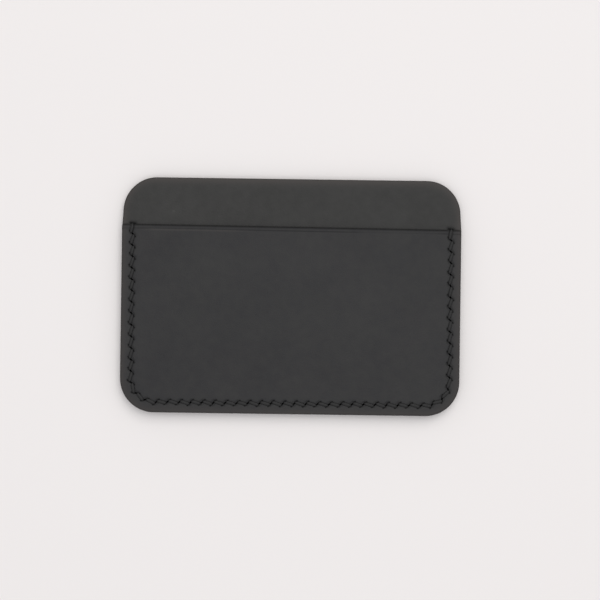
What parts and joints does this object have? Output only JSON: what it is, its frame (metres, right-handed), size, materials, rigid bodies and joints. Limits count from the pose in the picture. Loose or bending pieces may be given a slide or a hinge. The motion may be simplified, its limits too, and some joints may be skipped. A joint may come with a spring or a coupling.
{
  "type": "card holder",
  "caption": "Slim hand-sewn leather card holder: a tall centre panel with a shorter open-topped pocket stitched round its front and its rear.",
  "frame": {"origin": "middle of the outline, at the height of the rear pocket's outer face, on which the holder lies", "axes": "+X across the holder's width, +Y up its height towards the edge where cards go in, +Z out of its front face"},
  "size_m": [0.0996, 0.069, 0.0048],
  "materials": {
    "black_leather": "smooth matte black vegetable-tanned leather with burnished edges",
    "seam_cement": "dried contact cement",
    "waxed_thread": "twisted black thread, waxed"
  },
  "bodies": {
    "root": {"centre_panel": "black_leather", "front_pocket": "black_leather", "rear_pocket": "black_leather", "front_seam_cement": "seam_cement", "rear_seam_cement": "seam_cement", "saddle_stitch_thread": "waxed_thread"}
  },
  "joints": []
}
